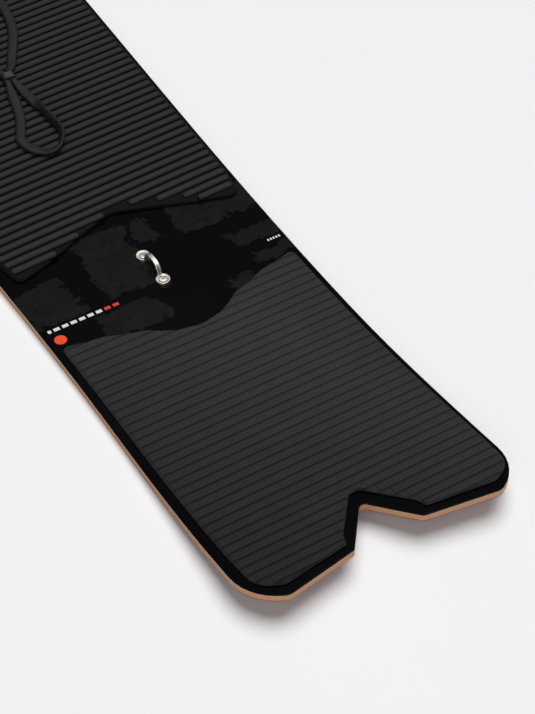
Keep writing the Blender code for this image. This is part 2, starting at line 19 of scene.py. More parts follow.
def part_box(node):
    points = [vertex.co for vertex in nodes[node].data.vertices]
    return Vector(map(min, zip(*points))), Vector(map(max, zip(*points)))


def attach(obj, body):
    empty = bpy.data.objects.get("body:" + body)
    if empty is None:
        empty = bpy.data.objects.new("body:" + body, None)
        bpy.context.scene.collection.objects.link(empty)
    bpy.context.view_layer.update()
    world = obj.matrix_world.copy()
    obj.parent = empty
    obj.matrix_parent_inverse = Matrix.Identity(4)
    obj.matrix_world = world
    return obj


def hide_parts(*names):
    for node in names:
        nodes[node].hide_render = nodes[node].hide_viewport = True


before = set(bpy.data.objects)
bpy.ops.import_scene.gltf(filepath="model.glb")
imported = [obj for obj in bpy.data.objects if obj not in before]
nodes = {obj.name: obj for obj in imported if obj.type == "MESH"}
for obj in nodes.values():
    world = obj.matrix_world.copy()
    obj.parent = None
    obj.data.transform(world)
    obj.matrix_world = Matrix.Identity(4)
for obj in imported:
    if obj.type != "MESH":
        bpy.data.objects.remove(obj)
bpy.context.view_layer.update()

# %% [markdown]
# ## Camera
#
# The board is looked at from behind its tail and from its left, about 46 degrees down, with a long lens
# so that its sides stay almost parallel. The camera's turn is built from the direction it looks in,
# because that is easier to read than three angles.

# %% Camera
EYE = Vector((-1.7473, 0.7346, 1.5279))
LOOK = Vector((0.59143, -0.36406, -0.71949)).normalized()
ROLL = math.radians(-0.15)
LENS_MM, SENSOR_MM = 105.96, 36.0

level_right = LOOK.cross(Vector((0, 0, 1))).normalized()
level_up = level_right.cross(LOOK)
right = math.cos(ROLL) * level_right + math.sin(ROLL) * level_up
up = math.cos(ROLL) * level_up - math.sin(ROLL) * level_right
camera = bpy.data.objects.new("camera", bpy.data.cameras.new("camera"))
bpy.context.scene.collection.objects.link(camera)
camera.matrix_world = Matrix.Translation(EYE) @ Matrix((right, up, -LOOK)).transposed().to_4x4()
camera.data.lens = LENS_MM
camera.data.sensor_width = SENSOR_MM
bpy.context.scene.camera = camera
print("camera looks", [round(v, 3) for v in LOOK])

# %% [markdown]
# ## Operators
#
# An operator acts on whatever is selected. These helpers make that explicit: one object is made the
# only selected one, and in edit mode a test picks the faces, edges or points that the next step moves.

# %% Selecting in code
def select_none():
    for other in list(bpy.context.selected_objects):
        other.select_set(False)


def only(obj):
    select_none()
    bpy.context.view_layer.objects.active = obj
    obj.select_set(True)
    return obj


def edit(obj):
    only(obj)
    bpy.ops.object.mode_set(mode="EDIT")


def done():
    bpy.ops.object.mode_set(mode="OBJECT")


def pick(kind, test):
    """In edit mode, selects only the faces, edges or points that pass the test. Returns how many."""
    bpy.ops.mesh.select_mode(type={"faces": "FACE", "edges": "EDGE", "verts": "VERT"}[kind])
    bpy.ops.mesh.select_all(action="DESELECT")
    bm = bmesh.from_edit_mesh(bpy.context.object.data)
    chosen = [part for part in getattr(bm, kind) if test(part)]
    for part in chosen:
        part.select_set(True)
    bmesh.update_edit_mesh(bpy.context.object.data)
    return len(chosen)


def keep_all_selected():
    bpy.ops.mesh.select_all(action="SELECT")


def apply_modifier(obj, kind, **settings):
    """Adds a modifier with those settings and applies it."""
    only(obj)
    made = obj.modifiers.new(kind.lower(), kind)
    for name, value in settings.items():
        setattr(made, name, value)
    bpy.ops.object.modifier_apply(modifier=made.name)


def seat(obj):
    """Puts an object's place, turn and scale into its mesh."""
    only(obj)
    bpy.ops.object.transform_apply(location=True, rotation=True, scale=True)


def copy_of(obj, name):
    made = obj.copy()
    made.data = obj.data.copy()
    made.name = name
    bpy.context.scene.collection.objects.link(made)
    return made


def smooth(obj, degrees=32):
    only(obj)
    bpy.ops.object.shade_smooth_by_angle(angle=math.radians(degrees))


# %% [markdown]
# ## The rope, first its line
#
# One flat braid makes the whole rope. It leaves the keeper, runs forward over the front pad, turns
# through the eye of the front anchor, comes back to the keeper and makes the handle loop behind it.
# Its two ends meet inside the keeper. The route is the one that the solid model has: a list of points,
# with a smooth curve read through them.

# %% The rope's route
GAP = 0.0003
ROPE_RADIUS = 0.00325
pad_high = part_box("front_pad")[1]
deck_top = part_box("front_anchor")[0].z - GAP
ON_PAD = pad_high.z + GAP + ROPE_RADIUS
ON_DECK = deck_top + GAP + ROPE_RADIUS
IN_KEEPER = ON_PAD + 0.0010
KEEPER_CENTRE = (0.0270, -0.0105)
KEEPER_TURN = math.radians(-6.0)
KEEPER_LENGTH = 0.010
KEEPER_LANE = 0.0040
KEEPER_LEAD = 0.005
RUNS_ROUTE = [
    (0.0480, -0.0040, ON_PAD + 0.0003), (0.0620, 0.0050, ON_PAD), (0.0820, 0.0165, ON_PAD),
    (0.1100, 0.0270, ON_PAD), (0.1500, 0.0335, ON_PAD), (0.1950, 0.0330, ON_PAD),
    (0.2400, 0.0280, ON_PAD), (0.2850, 0.0245, ON_PAD), (0.3200, 0.0240, ON_PAD),
    (0.3480, 0.0250, ON_PAD), (0.3720, 0.0262, ON_DECK + 0.0012), (0.3930, 0.0245, ON_DECK),
    (0.4120, 0.0160, ON_DECK), (0.4200, 0.0000, ON_DECK), (0.4120, -0.0160, ON_DECK),
    (0.3930, -0.0250, ON_DECK), (0.3720, -0.0275, ON_DECK + 0.0012), (0.3480, -0.0285, ON_PAD),
    (0.3200, -0.0300, ON_PAD), (0.2800, -0.0370, ON_PAD), (0.2350, -0.0500, ON_PAD),
    (0.1900, -0.0630, ON_PAD), (0.1650, -0.0675, ON_PAD), (0.1450, -0.0655, ON_PAD),
    (0.1250, -0.0615, ON_PAD), (0.1000, -0.0530, ON_PAD), (0.0780, -0.0415, ON_PAD),
    (0.0580, -0.0300, ON_PAD), (0.0440, -0.0225, ON_PAD + 0.0003),
]
HANDLE_ROUTE = [
    (0.0100, -0.0138, ON_PAD + 0.0004), (0.0000, -0.0142, ON_PAD), (-0.0200, -0.0156, ON_PAD),
    (-0.0400, -0.0167, ON_PAD), (-0.0600, -0.0176, ON_PAD), (-0.0780, -0.0184, ON_PAD),
    (-0.0900, -0.0170, ON_PAD), (-0.1000, -0.0130, ON_PAD), (-0.1080, -0.0075, ON_PAD),
    (-0.1130, -0.0005, ON_PAD), (-0.1135, 0.0075, ON_PAD), (-0.1085, 0.0150, ON_PAD),
    (-0.1010, 0.0215, ON_PAD), (-0.0900, 0.0262, ON_PAD), (-0.0780, 0.0268, ON_PAD),
    (-0.0680, 0.0228, ON_PAD), (-0.0500, 0.0135, ON_PAD), (-0.0400, 0.0095, ON_PAD),
    (-0.0200, 0.0035, ON_PAD), (0.0000, -0.0010, ON_PAD), (0.0100, -0.0035, ON_PAD + 0.0004),
]


def at_keeper(end, side, out):
    """A point on a run, out from the keeper's nose end (1) or tail end (-1)."""
    along = end * (KEEPER_LENGTH / 2 + GAP + out)
    place = Matrix.Rotation(KEEPER_TURN, 2) @ Vector((along, side * KEEPER_LANE))
    return Vector((KEEPER_CENTRE[0] + place.x, KEEPER_CENTRE[1] + place.y, IN_KEEPER))


inside = -KEEPER_LENGTH / 2
rope_route = [at_keeper(1, 1, inside), at_keeper(1, 1, 0), at_keeper(1, 1, KEEPER_LEAD)]
rope_route += [Vector(p) for p in RUNS_ROUTE]
rope_route += [at_keeper(1, -1, KEEPER_LEAD), at_keeper(1, -1, 0), at_keeper(-1, -1, 0)]
rope_route += [at_keeper(-1, -1, KEEPER_LEAD)]
rope_route += [Vector(p) for p in HANDLE_ROUTE]
rope_route += [at_keeper(-1, 1, KEEPER_LEAD), at_keeper(-1, 1, 0), at_keeper(-1, 1, inside)]
print("route points:", len(rope_route))

# %% A smooth line through the route
def smooth_line(points, step):
    """Points step apart on a smooth curve through the route's points."""
    route = [2 * points[0] - points[1]] + points + [2 * points[-1] - points[-2]]
    fine = []
    for a, b, c, d in zip(route, route[1:], route[2:], route[3:]):
        for k in range(20):
            t = k / 20
            bow = (2 * a - 5 * b + 4 * c - d) * t**2 + (3 * b - a - 3 * c + d) * t**3
            fine.append(0.5 * (2 * b + (c - a) * t + bow))
    fine.append(route[-2])
    total = sum((q - p).length for p, q in zip(fine, fine[1:]))
    count = round(total / step)
    spaced, run = [fine[0]], 0.0
    for p, q in zip(fine, fine[1:]):
        piece = (q - p).length
        while run + piece >= total / count * len(spaced) and len(spaced) < count:
            spaced.append(p.lerp(q, (total / count * len(spaced) - run) / piece))
        run += piece
    return spaced + [fine[-1]], total


rope_line, rope_length = smooth_line(rope_route, 0.002)
print("rope length:", round(rope_length, 3))

# %% [markdown]
# ## The rope's surface
#
# The braid is flat, with three soft ridges along it. It lies flat on the pad, is rolled on edge along
# one side of the handle loop, and is squeezed narrow where the keeper grips it. A ring of points in that
# section is set square to the line at each step, and the rings are joined into one closed tube. Its UV
# map runs along and around it for the braid.

# %% The rope's tube
ROPE_WIDTH, ROPE_THICK = 0.0117, 0.0050
GRIPPED_WIDTH = 0.0074
SECTION_POINTS = 32
GROOVE_AT, GROOVE_SPREAD = 0.34, 0.11  # as shares of half the width
ON_EDGE = math.radians(68)


def section(k, width):
    """One point of the braid's section: three ridges with grooves between them, above and below."""
    turn = 2 * math.pi * k / SECTION_POINTS
    share = math.copysign(abs(math.cos(turn)) ** 0.82, math.cos(turn))
    dips = [math.exp(-(((share - at) / GROOVE_SPREAD) ** 2)) for at in (GROOVE_AT, -GROOVE_AT)]
    groove = 1 - 0.20 * sum(dips)
    return share * width / 2, math.sin(turn) * ROPE_THICK / 2 * groove


def ease(t):
    t = min(max(t, 0), 1)
    return t * t * (3 - 2 * t)


def width_at(here):
    away = math.hypot(here.x - KEEPER_CENTRE[0], here.y - KEEPER_CENTRE[1])
    return GRIPPED_WIDTH + (ROPE_WIDTH - GRIPPED_WIDTH) * ease((away - 0.008) / 0.026)


def roll_at(share):
    """How far the flat braid is turned on its side, from 0 flat to 1 on edge, along the rope."""
    return ease((share - 0.775) / 0.02) * (1 - ease((share - 0.845) / 0.035))


def rope_tube(name, line):
    bm = bmesh.new()
    uv_map = bm.loops.layers.uv.new("UVMap")
    rings = []
    for i, here in enumerate(line):
        ahead = (line[min(i + 1, len(line) - 1)] - line[max(i - 1, 0)]).normalized()
        side = ahead.cross(Vector((0, 0, 1))).normalized()
        angle = roll_at(i / (len(line) - 1)) * ON_EDGE
        side = Matrix.Rotation(angle, 3, ahead) @ side
        over = side.cross(ahead)
        width = width_at(here)
        reach = math.hypot(width / 2 * math.sin(angle), ROPE_THICK / 2 * math.cos(angle))
        here.z += reach - ROPE_RADIUS
        ring = [here + side * a + over * b for a, b in (section(k, width) for k in range(SECTION_POINTS))]
        rings.append([bm.verts.new(p) for p in ring])
    for i, (low, high) in enumerate(zip(rings, rings[1:])):
        for k in range(SECTION_POINTS):
            n = (k + 1) % SECTION_POINTS
            face = bm.faces.new((low[k], low[n], high[n], high[k]))
            face.smooth = True
            for loop, (step, turn) in zip(face.loops, ((i, k), (i, k + 1), (i + 1, k + 1), (i + 1, k))):
                loop[uv_map].uv = (step * 0.002, turn / SECTION_POINTS)
    bm.faces.new(rings[0])
    bm.faces.new(list(reversed(rings[-1])))
    bmesh.ops.recalc_face_normals(bm, faces=bm.faces)
    mesh = bpy.data.meshes.new(name)
    bm.to_mesh(mesh)
    bm.free()
    obj = bpy.data.objects.new(name, mesh)
    bpy.context.scene.collection.objects.link(obj)
    return obj


rope = rope_tube("rope", rope_line)
print("rope faces:", len(rope.data.polygons))

# %% [markdown]
# ## Floor and light
#
# The board lies on a pale studio floor. Two broad soft lights reach it, one nearly overhead and one from
# behind the tail. The room itself stays dark, so that the gloss deck mirrors darkness and reads as black.

# %% Floor and lights
FLOOR_SIZE = 14.0
bpy.ops.mesh.primitive_plane_add(size=FLOOR_SIZE, location=(0, 0, -0.0004))
floor = bpy.context.object
floor.name = "floor"


def soft_sun(name, source, strength, spread):
    """A broad even light from that direction. A wide spread gives soft shadows."""
    light = bpy.data.lights.new(name, "SUN")
    light.energy = strength
    light.angle = math.radians(spread)
    obj = bpy.data.objects.new(name, light)
    bpy.context.scene.collection.objects.link(obj)
    obj.rotation_euler = Vector(source).to_track_quat("Z", "Y").to_euler()
    return obj


soft_sun("overhead", (0.15, -0.28, 1.0), 2.75, 50)
soft_sun("behind_tail", (-0.85, 0.60, 0.62), 1.15, 60)
world = bpy.data.worlds.new("studio")
world.use_nodes = True
world.node_tree.nodes["Background"].inputs["Color"].default_value = (1, 1, 1, 1)
world.node_tree.nodes["Background"].inputs["Strength"].default_value = 0.06
bpy.context.scene.world = world
bpy.context.scene.view_settings.view_transform = "Standard"

# %% [markdown]
# ## Shader maths
#
# A finish is a small network of nodes. The class below wraps one socket, so that a pattern can be
# written as a sum: `0.5 * stripe + noise` adds the Math nodes for it. Every other node is made by the
# one `node` method, which takes the node's type, its settings and the values or links of its sockets.

# %% One socket as a number
class Socket:
    def __init__(self, tree, socket=None):
        self.tree = tree
        self.socket = socket

    def node(self, kind, settings=None, output=0, **inputs):
        made = self.tree.nodes.new(kind)
        for name, value in (settings or {}).items():
            if name == "stops":
                ramp = made.color_ramp.elements
                while len(ramp) < len(value):
                    ramp.new(0.5)
                for element, (place, color) in zip(ramp, value):
                    element.position = place
                    element.color = (*color, 1)
            else:
                setattr(made, name, value)
        for name, value in inputs.items():
            target = made.inputs[int(name[1:])] if name[1:].isdigit() else made.inputs[name.replace("_", " ")]
            if isinstance(value, Socket):
                self.tree.links.new(value.socket, target)
            else:
                target.default_value = value
        return Socket(self.tree, made.outputs[output])

    def maths(self, operation, *values, clamp=False):
        numbered = {f"i{n}": value for n, value in enumerate(values)}
        return self.node("ShaderNodeMath", {"operation": operation, "use_clamp": clamp}, **numbered)

    def __add__(self, other):
        return self.maths("ADD", self, other)

    def __sub__(self, other):
        return self.maths("SUBTRACT", self, other)

    def __mul__(self, other):
        return self.maths("MULTIPLY", self, other)

    def __truediv__(self, other):
        return self.maths("DIVIDE", self, other)

    def __rsub__(self, other):
        return self.maths("SUBTRACT", other, self)

    __radd__ = __add__
    __rmul__ = __mul__

    def over(self, edge, soft):
        """0 below the edge and 1 above it, with a soft step between."""
        return self.maths("ADD", self.maths("DIVIDE", self - edge, soft), 0.5, clamp=True)

    def within(self, low, high, soft):
        """1 between low and high."""
        return self.over(low, soft) * (1 - self.over(high, soft))

    def wave(self, pitch):
        """From 0 to 1 and back once in each pitch."""
        return 0.5 + 0.5 * self.maths("COSINE", self * (2 * math.pi / pitch))

    def tint(self, low, high):
        """A colour between two, by this number."""
        return self.node("ShaderNodeMix", {"data_type": "RGBA"}, 2, Factor=self, A=(*low, 1), B=(*high, 1))


def mix_color(factor, low, high):
    """A colour between two colour sockets."""
    return factor.node("ShaderNodeMix", {"data_type": "RGBA"}, 2, i0=factor, i6=low, i7=high)


# %% [markdown]
# Each finish starts from the same two things: a Principled shader with its constant values, and the
# object's own coordinates, which are the board's own metres because every piece sits at the origin.

# %% Starting a finish
class Finish:
    def __init__(self, name, roughness=0.5, metallic=0.0, **values):
        self.material = bpy.data.materials.new(name)
        self.material.use_nodes = True
        self.tree = self.material.node_tree
        self.shader = self.tree.nodes["Principled BSDF"]
        self.set("Roughness", roughness)
        self.set("Metallic", metallic)
        for key, value in values.items():
            self.set(key.replace("_", " "), value)
        self.start = Socket(self.tree)
        self.place = self.start.node("ShaderNodeTexCoord", output=3)
        self.uv = self.start.node("ShaderNodeTexCoord", output=2)

    def set(self, name, value):
        """A constant on the shader's own socket, or a link to it."""
        if isinstance(value, Socket):
            self.tree.links.new(value.socket, self.shader.inputs[name])
        else:
            self.shader.inputs[name].default_value = value

    def xyz(self, vector=None):
        vector = vector or self.place
        return [vector.node("ShaderNodeSeparateXYZ", output=n, Vector=vector) for n in range(3)]

    def stretched(self, scale, vector=None, turn=0.0):
        """The coordinates scaled along each axis, so that a pattern runs long one way."""
        return self.start.node(
            "ShaderNodeMapping", Vector=vector or self.place, Scale=scale, Rotation=(0, 0, turn)
        )

    def noise(self, scale, detail=3.0, roughness=0.5, vector=None, distortion=0.0):
        return self.start.node(
            "ShaderNodeTexNoise", Vector=vector or self.place, Scale=scale, Detail=detail,
            Roughness=roughness, Distortion=distortion,
        )

    def bump(self, height, strength, distance):
        normal = self.start.node("ShaderNodeBump", Height=height, Strength=strength, Distance=distance)
        self.set("Normal", normal)


def paint(obj, finish):
    obj.data.materials.clear()
    obj.data.materials.append(finish.material)


# %% Floor finish
floor_finish = Finish("studio_floor", roughness=0.6, Specular_IOR_Level=0.2)
floor_finish.set("Base Color", floor_finish.noise(3.0).tint((0.80, 0.80, 0.81), (0.83, 0.83, 0.84)))
paint(floor, floor_finish)

# %% [markdown]
# ## The board's outline and its raised ends
#
# Every layer of the deck has one outline. It could be drawn again, but the solid model already has it:
# the underside of a solid, laid flat and dissolved into one face, is that outline. A layer is then that
# face extruded and given its rim while it is flat, and bent to the raised ends last, as on a press.

# %% Bending to the raised ends
KICK_START, KICK_RATE = -0.4862, 0.298
ROCKER_START, ROCKER_RATE = 0.470, 0.620


def rise(x):
    return KICK_RATE * max(KICK_START - x, 0) ** 2 + ROCKER_RATE * max(x - ROCKER_START, 0) ** 2


def bend(obj, step=0.008):
    """Cuts a flat layer across in its raised ends, then lifts it to them."""
    low, high = obj.bound_box[0][0], obj.bound_box[6][0]
    cuts = [KICK_START - step * k for k in range(int((KICK_START - low) / step) + 1)]
    cuts += [ROCKER_START + step * k for k in range(int(max(high - ROCKER_START, 0) / step) + 1)]
    edit(obj)
    for x in cuts:
        keep_all_selected()
        bpy.ops.mesh.bisect(plane_co=(x, 0, 0), plane_no=(1, 0, 0))
    done()
    for v in obj.data.vertices:
        v.co.z += rise(v.co.x)


# %% An outline from the underside of a solid
def flat_outline(node, name):
    made = bpy.data.objects.new(name, nodes[node].data.copy())
    bpy.context.scene.collection.objects.link(made)
    for v in made.data.vertices:
        v.co.z -= rise(v.co.x)
    low = min(v.co.z for v in made.data.vertices)
    edit(made)
    keep_all_selected()
    bpy.ops.mesh.remove_doubles(threshold=1e-6)
    pick("faces", lambda f: any(v.co.z > low + 0.0001 for v in f.verts))
    bpy.ops.mesh.delete(type="FACE")
    keep_all_selected()
    bpy.ops.mesh.dissolve_faces()
    done()
    for v in made.data.vertices:
        v.co.z = 0
    return made


def outline_points(outline, inset=0.0):
    """The points round an outline, drawn in by that much."""
    spare = copy_of(outline, "spare")
    edit(spare)
    keep_all_selected()
    if inset:
        bpy.ops.mesh.inset(thickness=inset)
    bm = bmesh.from_edit_mesh(spare.data)
    face = next(f for f in bm.faces if f.select)
    points = [v.co.copy() for v in face.verts]
    done()
    bpy.data.objects.remove(spare)
    return points


deck = flat_outline("running_base", "deck_outline")
tail_shape = flat_outline("tail_pad", "tail_pad_outline")
front_shape = flat_outline("front_pad", "front_pad_outline")
for shape in (deck, tail_shape, front_shape):
    print(shape.name, "faces:", len(shape.data.polygons), "points:", len(shape.data.vertices))

# %% A layer from an outline
def slab(outline, name, low, high, rim=0.0, drop=0.0, soft=0.0):
    """A closed layer between two heights. Its rim slopes in by rim and down by drop, with soft edges."""
    made = copy_of(outline, name)
    edit(made)
    keep_all_selected()
    bpy.ops.transform.translate(value=(0, 0, low))
    bpy.ops.mesh.extrude_region_move(TRANSFORM_OT_translate={"value": (0, 0, high - drop - low)})
    if rim:
        bpy.ops.mesh.inset(thickness=rim, depth=0)
        bpy.ops.transform.translate(value=(0, 0, drop))
    keep_all_selected()
    bpy.ops.mesh.normals_make_consistent(inside=False)
    if soft:
        pick("edges", lambda e: all(v.co.z > high - drop - 1e-5 for v in e.verts)
             and abs(e.verts[0].co.z - e.verts[1].co.z) < 1e-5 and len(e.link_faces) == 2
             and e.calc_face_angle(0) > math.radians(12))
        bpy.ops.mesh.bevel(offset=soft, segments=2, affect="EDGES")
    done()
    return made


# %% [markdown]
# ## The layers of the deck
#
# From below: the waxed running base, glass laminate, the wood core that shows all round the edge as a
# tan line, glass laminate again, and the gloss topsheet. They are pressed together, so here each layer
# meets the next, and the small gaps of the solid model close.

# %% Deck layers
LAYERS = {
    "base_sheet": ("running_base", "running_base", 0.0, 0.0011, 0.0, 0.0),
    "lower_glass": ("lower_laminate", "glass_laminate", 0.00112, 0.0019, 0.0, 0.0),
    "core_strips": ("wood_core", "wood_core", 0.00192, 0.0069, 0.0, 0.0),
    "upper_glass": ("upper_laminate", "glass_laminate", 0.00692, 0.0075, 0.0, 0.0),
    "top_gloss": ("topsheet", "gloss_topsheet", 0.00752, deck_top, 0.0005, 0.0004),
}
layers = {}
for name, (node, slot_name, low, high, rim, drop) in LAYERS.items():
    layer = slab(deck, name, low, high, rim, drop, soft=0.00012 if rim else 0)
    bend(layer)
    smooth(layer)
    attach(layer, "root")
    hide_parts(node)
    layers[name] = layer
print("layers:", {name: len(layer.data.polygons) for name, layer in layers.items()})

# %% [markdown]
# ## The tail pad
#
# The tail pad is a sheet of firm foam with fine grooves across it. It is laid a little to the right, and
# more so towards the tail. The strips between the grooves end square near the pad's sides and step along
# the swallow tail, and run out to the wavy front edge. So the strips are drawn one by one: a line across
# the pad finds where the outline is, first on the left of the middle line and then on its right.

# %% Where a line across meets an outline
def crossings(points, x, lean=0.0):
    """The y of each place where the line through x, leaning that much, crosses the outline."""
    found = []
    for a, b in zip(points, points[1:] + points[:1]):
        side_a, side_b = a.x - lean * a.y - x, b.x - lean * b.y - x
        if (side_a < 0) != (side_b < 0):
            found.append(a.y + (b.y - a.y) * side_a / (side_a - side_b))
    return sorted(found)


# %% The strips of the tail pad
GROOVE_PITCH, GROOVE_WIDTH, GROOVE_DEPTH = 0.01106, 0.0015, 0.0008
FIRST_GROOVE = -0.38675
STRIP_BORDER = 0.0012
tail_low, tail_top = 0.0090, 0.0122
tail_edge = outline_points(tail_shape, 0.0011)


def half_strip(start, end, side):
    """Outer and inner points of one strip on one side, 1 left or -1 right, measured from the middle."""
    outer, inner = [], []
    for k in range(9):
        x = start + (end - start) * k / 8
        found = sorted(side * y for y in crossings(tail_edge, x) if side * y > 1e-5)
        if found:
            outer.append(Vector((x, found[-1], 0)))
            inner.append(Vector((x, found[-2] if len(found) > 1 else 0, 0)))
    return outer, inner


def squared(points, inward):
    """Square the end of a strip where the outline runs mostly lengthwise."""
    ys = [p.y for p in points]
    run = abs(points[-1].x - points[0].x)
    if max(ys) == 0 or max(ys) - min(ys) > 1.1 * run:
        return points
    y = (min(ys) - STRIP_BORDER) if inward else (max(ys) + STRIP_BORDER)
    return [Vector((points[0].x, y, 0)), Vector((points[-1].x, y, 0))]


bm = bmesh.new()
pad_end = min(p.x for p in tail_edge)
groove = FIRST_GROOVE + GROOVE_PITCH
while groove > pad_end:
    start, end = groove - GROOVE_WIDTH / 2, groove - GROOVE_PITCH + GROOVE_WIDTH / 2
    groove -= GROOVE_PITCH
    for side in (1, -1):
        outer, inner = half_strip(start, end, side)
        if len(outer) < 3:
            continue
        ring = squared(outer, True) + list(reversed(squared(inner, False)))
        if max(p.y for p in ring) - min(p.y for p in ring) > 0.004:
            bm.faces.new([bm.verts.new((p.x, side * p.y, 0)) for p in ring])
bmesh.ops.remove_doubles(bm, verts=bm.verts, dist=1e-6)
bmesh.ops.dissolve_degenerate(bm, dist=1e-6, edges=bm.edges)
strip_mesh = bpy.data.meshes.new("tail_strips")
bm.to_mesh(strip_mesh)
bm.free()
strips = bpy.data.objects.new("tail_strips", strip_mesh)
bpy.context.scene.collection.objects.link(strips)
edit(strips)
pick("edges", lambda e: all(abs(v.co.y) < 1e-5 for v in e.verts) and len(e.link_faces) == 2)
bpy.ops.mesh.dissolve_edges(use_verts=True)
keep_all_selected()
bpy.ops.mesh.normals_make_consistent(inside=False)
bpy.ops.transform.translate(value=(0, 0, tail_top - GROOVE_DEPTH - 0.0003))
bpy.ops.mesh.extrude_region_move(TRANSFORM_OT_translate={"value": (0, 0, GROOVE_DEPTH + 0.0003)})
keep_all_selected()
bpy.ops.mesh.normals_make_consistent(inside=False)
pick("edges", lambda e: all(v.co.z > tail_top - 1e-5 for v in e.verts))
bpy.ops.mesh.bevel(offset=0.00035, segments=2, affect="EDGES")
done()
print("strips:", len(strips.data.polygons))

# %% The tail pad's sheet
def joined(first, *others):
    only(first)
    for other in others:
        other.select_set(True)
    bpy.ops.object.join()
    return first


tail_pad = slab(tail_shape, "tail_foam", tail_low, tail_top - GROOVE_DEPTH, 0.0016, 0.0014, soft=0.0003)
joined(tail_pad, strips)
bend(tail_pad)
smooth(tail_pad)
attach(tail_pad, "root")
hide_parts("tail_pad")
print("tail pad:", len(tail_pad.data.polygons))

# %% [markdown]
# ## The front pad
#
# The front pad is thicker. Its round ribs run across the board, and each ends in its own round end
# inside a smooth border. One rib is a ball with its two halves pulled apart, so it is modelled once,
# and each copy is pulled to its own length between the two ends of its line across the pad.

# %% One rib
RIB_PITCH, RIB_WIDTH, RIB_LEAN = 0.01173, 0.0100, math.tan(math.radians(-2.55))
RIB_VALLEY = 0.1055
RIB_BORDER, WIDE_BORDER = 0.0022, 0.0080
NOSE_SLANT = 0.294  # the slanted nose edge starts here
sheet_top = 0.0127
rib_height = pad_high.z - sheet_top


def ball(name):
    select_none()
    bpy.ops.mesh.primitive_uv_sphere_add(segments=16, ring_count=9, radius=1)
    made = bpy.context.object
    made.name = name
    made.rotation_euler = (math.pi / 2, 0, 0)
    made.scale = (RIB_WIDTH / 2, rib_height, RIB_WIDTH / 2)
    seat(made)
    return made


first_rib = ball("first_rib")
print("rib faces:", len(first_rib.data.polygons))

# %% The field of ribs
rib_edge = outline_points(front_shape, RIB_BORDER)
wide_edge = outline_points(front_shape, WIDE_BORDER)
ribs = []
nearest, furthest = min(p.x for p in rib_edge), max(p.x for p in rib_edge)
line = RIB_VALLEY - RIB_PITCH * (int((RIB_VALLEY - nearest) / RIB_PITCH) + 1.5)
while line < furthest + 0.01:
    found = crossings(rib_edge, line, RIB_LEAN)
    inner = crossings(wide_edge, line, RIB_LEAN)
    if len(found) == 4 and len(inner) == 4:
        found[1] = inner[1]  # behind, the right half of the field keeps a wider border
    if line > NOSE_SLANT:
        found = inner  # and so do the slanted edges in front
    for low, high in zip(found[::2], found[1::2]):
        if high - low < 0.010:
            continue
        rib = copy_of(first_rib, f"rib_{len(ribs)}")
        for v in rib.data.vertices:
            end = high - RIB_WIDTH / 2 if v.co.y > 0 else low + RIB_WIDTH / 2
            v.co.y += end
            v.co.x += line + RIB_LEAN * v.co.y
            v.co.z += sheet_top
        ribs.append(rib)
    line += RIB_PITCH
bpy.data.objects.remove(first_rib)
print("ribs:", len(ribs))

# %% The front pad's sheet
front_pad = slab(front_shape, "front_foam", 0.0090, sheet_top, 0.0020, 0.0017, soft=0.0005)
joined(front_pad, *ribs)
smooth(front_pad, 40)
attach(front_pad, "root")
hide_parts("front_pad")
for shape in (deck, tail_shape, front_shape):
    bpy.data.objects.remove(shape)
print("front pad:", len(front_pad.data.polygons))

# %% [markdown]
# ## The anchors
#
# Each anchor is one nickel casting: two round feet with a raised rim, and an arched strap between them
# with a shallow channel along its top. A foot is a cylinder whose top is inset and sunk. The strap is
# its own section spun half a turn about the anchor's middle and then stretched upwards.

# %% One foot
FOOT_RADIUS, FOOT_THICK = 0.0076, 0.0030
FOOT_RIM, FOOT_RIM_HEIGHT = 0.0011, 0.0006
SEAT_EDGE, SEAT_DEPTH = 0.0016, 0.0014  # where the screw sits, sunk inside the rim
SCREW_PITCH = 0.042
FOOT_Z = deck_top + GAP


def foot(x):
    select_none()
    bpy.ops.mesh.primitive_cylinder_add(
        vertices=64, radius=FOOT_RADIUS, depth=FOOT_THICK, location=(x, 0, FOOT_Z + FOOT_THICK / 2)
    )
    made = seat_active()
    top = FOOT_Z + FOOT_THICK
    edit(made)
    pick("faces", lambda f: f.normal.z > 0.9)
    bpy.ops.mesh.inset(thickness=FOOT_RIM)
    bpy.ops.mesh.extrude_region_move(TRANSFORM_OT_translate={"value": (0, 0, -FOOT_RIM_HEIGHT)})
    bpy.ops.mesh.inset(thickness=SEAT_EDGE)
    bpy.ops.mesh.extrude_region_move(TRANSFORM_OT_translate={"value": (0, 0, -SEAT_DEPTH)})
    pick("edges", lambda e: all(v.co.z > top - 0.0007 for v in e.verts)
         and abs(e.verts[0].co.z - e.verts[1].co.z) < 1e-6 and e.calc_face_angle(0) > 1)
    bpy.ops.mesh.bevel(offset=0.00032, segments=3, affect="EDGES")
    done()
    return made


def seat_active():
    made = bpy.context.object
    seat(made)
    return made


# %% The strap
STRAP_WIDTH, STRAP_THICK = 0.0056, 0.0021
STRAP_INTO_FOOT = 0.0018
STRAP_START = 0.0012  # above the deck, inside the foot
ARCH_HEIGHT = 0.0163
CHANNEL_DEPTH, CHANNEL_WIDTH = 0.0005, 0.0012
strap_reach = SCREW_PITCH / 2 - FOOT_RADIUS + STRAP_INTO_FOOT
strap_crown = FOOT_Z + ARCH_HEIGHT


